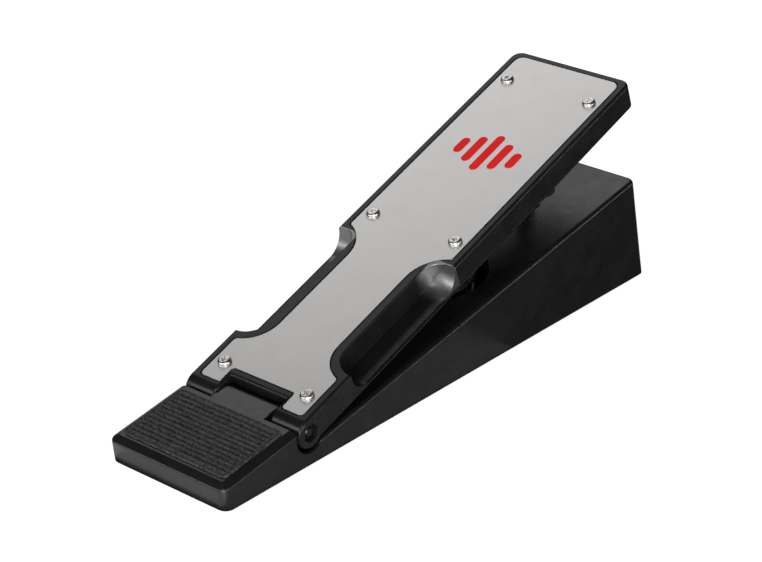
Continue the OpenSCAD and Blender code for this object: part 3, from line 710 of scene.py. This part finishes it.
def scoop_cutter():
    """Room of the right finger scoop: flat floor that sweeps up at its far end, upright walls, round rim."""
    corners = [(HALF + 14, SCOOP_NEAR, 0), (HALF + 14, SCOOP_FAR, 0), (RIM_X, SCOOP_FAR, SCOOP_FAR_R),
               (RIM_X, SCOOP_NEAR, SCOOP_NEAR_R)]
    loops = [(SCOOP_BLEND_R * (1 - math.sin(a)), SCOOP_FLOOR + SCOOP_BLEND_R * (1 - math.cos(a)))
             for a in [math.pi / 2 * k / 6 for k in range(7)]]
    loops += [(-i, BOARD_TOP - d) for i, d in quarter(SCOOP_RIM_R)]
    loops.append((-SCOOP_RIM_R - 1, BOARD_TOP + 0.4))
    room = solid("scoop", [standing(outline(corners, inset, 24), t) for inset, t in loops])
    sweep = arc((SCOOP_FAR - SCOOP_RAMP_R, SCOOP_FLOOR + SCOOP_RAMP_R), SCOOP_RAMP_R, -90, 0, 24)
    hollow = arc((SCOOP_NEAR + SCOOP_HEEL_R, SCOOP_FLOOR + SCOOP_HEEL_R), SCOOP_HEEL_R, 180, 270, 16)
    profile = [Vector((SCOOP_NEAR - 3, SCOOP_FLOOR + SCOOP_HEEL_R))] + hollow + sweep
    profile += [Vector((SCOOP_FAR + 3, BOARD_TOP + 0.6)), Vector((SCOOP_NEAR - 3, BOARD_TOP + 0.6))]
    keep_inside(room, solid("trough", [lying(profile, x) for x in (RIM_X - 9, HALF + 20)]))
    edge = arc((HALF - SCOOP_LIP_R, SCOOP_FLOOR - SCOOP_LIP_R), SCOOP_LIP_R, 0, 90, 5)
    edge += [Vector((HALF - SCOOP_LIP_R, SCOOP_FLOOR + 0.1)), Vector((HALF + 1, SCOOP_FLOOR + 0.1)),
             Vector((HALF + 1, SCOOP_FLOOR - SCOOP_LIP_R))]
    lip = solid("lip", [[Vector((p.x, s, p.y)) for p in reversed(edge)]
                        for s in (SCOOP_NEAR + SCOOP_HEEL_R, SCOOP_FAR - SCOOP_RAMP_R)])
    return add_to(room, lip)


def make_footboard():
    corners = [(NOTCH_HALF, 0, 0, 0), (HALF, 0, 0), (HALF, BOARD_REACH, 5), (-HALF, BOARD_REACH, 5),
               (-HALF, 0, 0, 0), (-NOTCH_HALF, 0, 0), (-NOTCH_HALF, NOTCH_FAR, 0.01),
               (NOTCH_HALF, NOTCH_FAR, 0.01)]
    board = prism("footboard_tray", corners, BOARD_UNDER, BOARD_TOP, 0.6, BOARD_EDGE_R)
    rim = quarter(BOARD_EDGE_R)
    for x0, x1 in ((NOTCH_HALF, HALF), (-HALF, -NOTCH_HALF)):
        stations = [(i, x0 + d) for i, d in reversed(rim)] + [(i, x1 - d) for i, d in rim]
        add_to(board, solid("ear", [lying(circle(BOARD_TOP - inset, 96), x) for inset, x in stations]))

    scoop = scoop_cutter()
    left = scoop.copy()
    left.data = scoop.data.copy()
    bpy.context.scene.collection.objects.link(left)
    left.data.transform(Matrix.Scale(-1, 4, (1, 0, 0)))
    left.data.flip_normals()
    cut_away(board, scoop, left)

    seat = BOARD_TOP - PLATE_T
    loops = [(PLATE_GAP, seat), (PLATE_GAP, BOARD_TOP - 0.35), (PLATE_GAP + 0.03, BOARD_TOP - 0.12),
             (PLATE_GAP + 0.15, BOARD_TOP + 0.01), (PLATE_GAP + 0.65, BOARD_TOP + 0.5)]
    cut_away(board, solid("plate_seat", [standing(plate_outline(grow), t) for grow, t in loops]))

    pockets = [(12, 25, 17), (30, 47, 17), (57, 78, 17), (80.5, 102, 17), (116, 138, 28), (140.5, 163.5, 28),
               (166, 189, 28), (191.5, 201.5, 28), (214, 224, 28)]
    for near, far, outer in pockets:
        for x0, x1 in ((7.5, outer), (-outer, -7.5)):
            cut_away(board, prism("pocket", rectangle(x0, x1, near, far, 1.5), BOARD_UNDER - 1, 2.8, 0, 1.2))
    cut_away(board, prism("hook_recess", rectangle(-5.3, 5.3, 175.7, 191.3, 0.5), BOARD_UNDER - 1, -1.1))

    finger_r, finger_tip = 3.0, -15.3
    tip = [(finger_r * math.sin(a), finger_tip + finger_r * (1 - math.cos(a)))
           for a in [math.pi / 2 * k / 8 for k in range(9)]]
    add_to(board, moved(lathe("finger", tip + [(finger_r, 0)]), Matrix.Translation((0, 52, 0))))

    cut_away(board, solid("bolt_hole", [lying(circle(2.05, 48), x) for x in (-HALF - 1, HALF + 1)]))
    nut_room = hexagon(NUT_POCKET_FLATS, 0.25)
    pocket = [(0, HALF - POCKET_DEPTH), (0, HALF - 0.3), (-0.08, HALF - 0.12), (-0.3, HALF + 0.02),
              (-0.6, HALF + 1)]
    cut_away(board, solid("nut_pocket", [lying(outline(nut_room, inset, 3), x) for inset, x in pocket]))
    bore = [(4.6, -HALF - 1), (4.1, -HALF - 0.02), (3.88, -HALF + 0.12), (3.8, -HALF + 0.3),
            (3.8, -HALF + POCKET_DEPTH)]
    cut_away(board, solid("head_pocket", [lying(circle(radius, 64), x) for radius, x in bore]))
    install(board, BOARD, "footboard", "board_plastic", "footboard")


def make_plate():
    seat = BOARD_TOP - PLATE_T
    loops = [(-0.1, seat), (0, seat + 0.1), (0, BOARD_TOP - 0.15), (-0.05, BOARD_TOP - 0.05),
             (-0.15, BOARD_TOP)]
    plate = solid("satin_plate", [standing(plate_outline(grow), t) for grow, t in loops])
    install(plate, BOARD, "footboard", "plate_steel", "foot_plate")


def pan_screw(name, head_r, head_h, shank_r, shank_len):
    """Pan-head screw with a cross recess, its head seated at w = 0 and its shank below."""
    dome = [(head_r - head_h * 0.75 * (1 - math.sin(a)), head_h * (0.25 + 0.75 * math.cos(a)))
            for a in [math.pi / 2 * k / 8 for k in range(8, -1, -1)]]
    profile = [(shank_r * 0.5, -shank_len), (shank_r, -shank_len + 0.6), (shank_r, 0), (head_r - 0.1, 0),
               (head_r, 0.12)] + dome
    screw = lathe(name, profile)
    arm, thick = head_r * 0.5, head_r * 0.13
    for turn in (0, 90):
        slot = [(-arm, -thick, 0), (arm, -thick, 0), (arm, thick, 0), (-arm, thick, 0)]
        cutter = solid("slot", [standing(outline(slot, inset, 2), w) for inset, w in
                                ((thick * 0.7, head_h * 0.35), (0, head_h * 0.8), (-0.08, head_h + 0.2))])
        cut_away(screw, moved(cutter, Matrix.Rotation(math.radians(turn), 4, "Z")))
    return screw


def make_plate_screws():
    turns = iter((20, 64, 41, 12, 77, 33))
    screws = []
    for s in SCREW_ROWS:
        for x in (-SCREW_X, SCREW_X):
            screw = pan_screw("screw", head_r=3.0, head_h=1.6, shank_r=1.5, shank_len=5)
            place = Matrix.Translation((x, s, BOARD_TOP)) @ Matrix.Rotation(math.radians(next(turns)), 4, "Z")
            screws.append(moved(screw, place))
    install(merged("pan_head_screws", screws), BOARD, "footboard", "fastener_steel", "plate_screws")


def make_hinge_hardware():
    """M4 nut in the right ear and the bolt that it holds, both turning with the footboard."""
    x0 = HALF - POCKET_DEPTH
    nut = prism("hex_nut", hexagon(NUT_FLATS), x0, x0 + NUT_T, place=lying, steps=1)
    chamfer = [(3.5, x0), (4.2, x0 + 0.5), (4.2, x0 + 1.6), (3.4, x0 + NUT_T)]
    keep_inside(nut, lathe("chamfer", chamfer, 64, lying))
    cut_away(nut, lathe("thread", [(2.0, x0 - 1), (2.0, x0 + 1.8), (2.35, x0 + 2.4)], 48, lying))
    install(nut, BOARD, "footboard", "black_zinc", "hinge_nut")
    left = -HALF + POCKET_DEPTH
    profile = [(2.9, left - 2.2), (3.5, left - 1.7), (3.5, left), (2.0, left), (2.0, x0 + 2.5),
               (1.55, x0 + 3.0)]
    bolt = lathe("hinge_bolt_m4", profile, 64, lying)
    socket = hexagon(HEX_SOCKET_FLATS)
    cut_away(bolt, solid("socket", [lying(outline(socket, inset, 1), x) for inset, x in
                                    ((-0.3, left - 3), (0, left - 2.05), (0, left - 0.8))]))
    install(bolt, BOARD, "footboard", "black_zinc", "hinge_bolt")


# ---------------------------------------------------------------- spring and hook

def make_spring():
    """Coil spring that climbs evenly from its seat in the well to the slope of the cup under the board."""
    wire_r, coil_r, turns, rings, sides = 1.0, 13.0, 6.5, 28, 14
    seat_z = WELL_FLOOR + 1.5
    cap_s, cap_t = 124.0, BOARD_UNDER - 1.5
    to_base = BASE.inverted() @ BOARD
    cap = to_base @ Vector((0, cap_s, cap_t))
    rise = math.tan(BOARD_TILT)

    def point(turn):
        angle = math.tau * turn
        y = SPRING_Y + coil_r * math.sin(angle)
        low = seat_z + wire_r
        high = cap.z + (y - cap.y) * rise - wire_r / math.cos(BOARD_TILT) - 0.1
        share = turn / turns
        return Vector((coil_r * math.cos(angle), y, low + (high - low) * share))

    count = int(turns * rings)
    path = [point(k / rings) for k in range(count + 1)]
    loops = []
    for k, centre in enumerate(path):
        run = (path[min(k + 1, count)] - path[max(k - 1, 0)]).normalized()
        out = run.cross(Vector((0, 0, 1))).normalized()
        up = out.cross(run)
        angles = [math.tau * i / sides for i in range(sides)]
        loops.append([centre + wire_r * (math.cos(a) * out + math.sin(a) * up) for a in angles])
    spring = solid("coil_spring", [loop[::-1] for loop in loops])
    install(spring, BASE, "base", "spring_steel", "return_spring", sharp=50)
    spring.modifiers.clear()
    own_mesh(spring)


def make_hook():
    """Bent steel strip under the board, which catches under the base's top and stops the board."""
    s, seat, thick = 176.0, -1.1, 2.0
    drop, catch = 35.3, 13
    foot_t = BOARD_UNDER - drop
    tilt = BOARD_TILT - math.atan(RAMP_RISE)
    run, down = catch * math.cos(tilt), catch * math.sin(tilt)
    tip = Vector((s + thick - run, foot_t + down))
    under = tip - thick * Vector((math.sin(tilt), math.cos(tilt)))
    corners = [(s + 15, seat - thick, 0.3), (s + 15, seat, 0.3), (s, seat, 2.6),
               (s, foot_t + thick * math.tan(tilt), 0.8), (tip.x, tip.y, 0.3), (under.x, under.y, 0.3),
               (s + thick, foot_t - thick * 1.01, 2.6), (s + thick, seat - thick, 0.8)]
    hook = prism("bent_hook", corners, -5, 5, 0.3, 0.3, place=lying)
    install(hook, BOARD, "footboard", "hook_steel", "stop_hook")


# ---------------------------------------------------------------- output socket

def make_socket():
    """Threaded sleeve with its nut, in the recess of the rear wall."""
    face, nut_t, sleeve_r = JACK_FACE_Y + 0.5, 2.2, 4.7
    corners = hexagon(SOCKET_NUT_FLATS, 0.0, JACK_Z)
    nut = solid("socket_nut", [along_y(outline(corners, 0, 1), y) for y in (face, face + nut_t)])
    keep_inside(nut, solid("chamfer", [along_y(circle(radius, 64, (0, JACK_Z)), y) for radius, y in
                                       ((7.2, face), (7.2, face + 1.5), (6.0, face + nut_t))]))
    cut_away(nut, solid("thread", [along_y(circle(radius, 64, (0, JACK_Z)), y) for radius, y in
                                   ((sleeve_r, face - 1), (sleeve_r, face + 1.9), (5.2, face + 2.4))]))
    install(nut, BASE, "base", "nickel", "jack_nut")

    inner_y, outer_y = LENGTH - 17, LENGTH - 6
    profile = [(6.3, inner_y), (6.3, JACK_FACE_Y - 3), (sleeve_r, JACK_FACE_Y - 3)]
    pitch = 0.75
    y = JACK_FACE_Y - 2.6
    while y < outer_y - 1:
        profile += [(sleeve_r, y), (4.45, y + pitch / 2)]
        y += pitch
    profile += [(4.6, outer_y - 0.5), (4.2, outer_y)]
    sleeve = solid("socket_sleeve", [along_y(circle(radius, 48, (0, JACK_Z)), y) for radius, y in profile])
    cut_away(sleeve, solid("bore", [along_y(circle(radius, 48, (0, JACK_Z)), y) for radius, y in
                                    ((3.2, inner_y - 1), (3.2, outer_y - 0.5), (3.75, outer_y + 0.1))]))
    install(sleeve, BASE, "base", "nickel", "jack_sleeve")


# ---------------------------------------------------------------- carried-over CAD pieces

def dress_cad_nodes():
    """Every CAD node that stays in view takes the material of its slot."""
    slots = {part["node"]: part["material_slot"] for part in frame["record"]["subparts"]}
    for name, node in frame["nodes"].items():
        if node.hide_render:
            continue
        node.data.materials.clear()
        node.data.materials.append(materials[slots[name]])


make_camera()
materials = make_materials()
make_studio()
make_housing()
make_heel_pad()
make_footboard()
make_plate()
make_plate_screws()
make_hinge_hardware()
make_spring()
make_hook()
make_socket()
dress_cad_nodes()
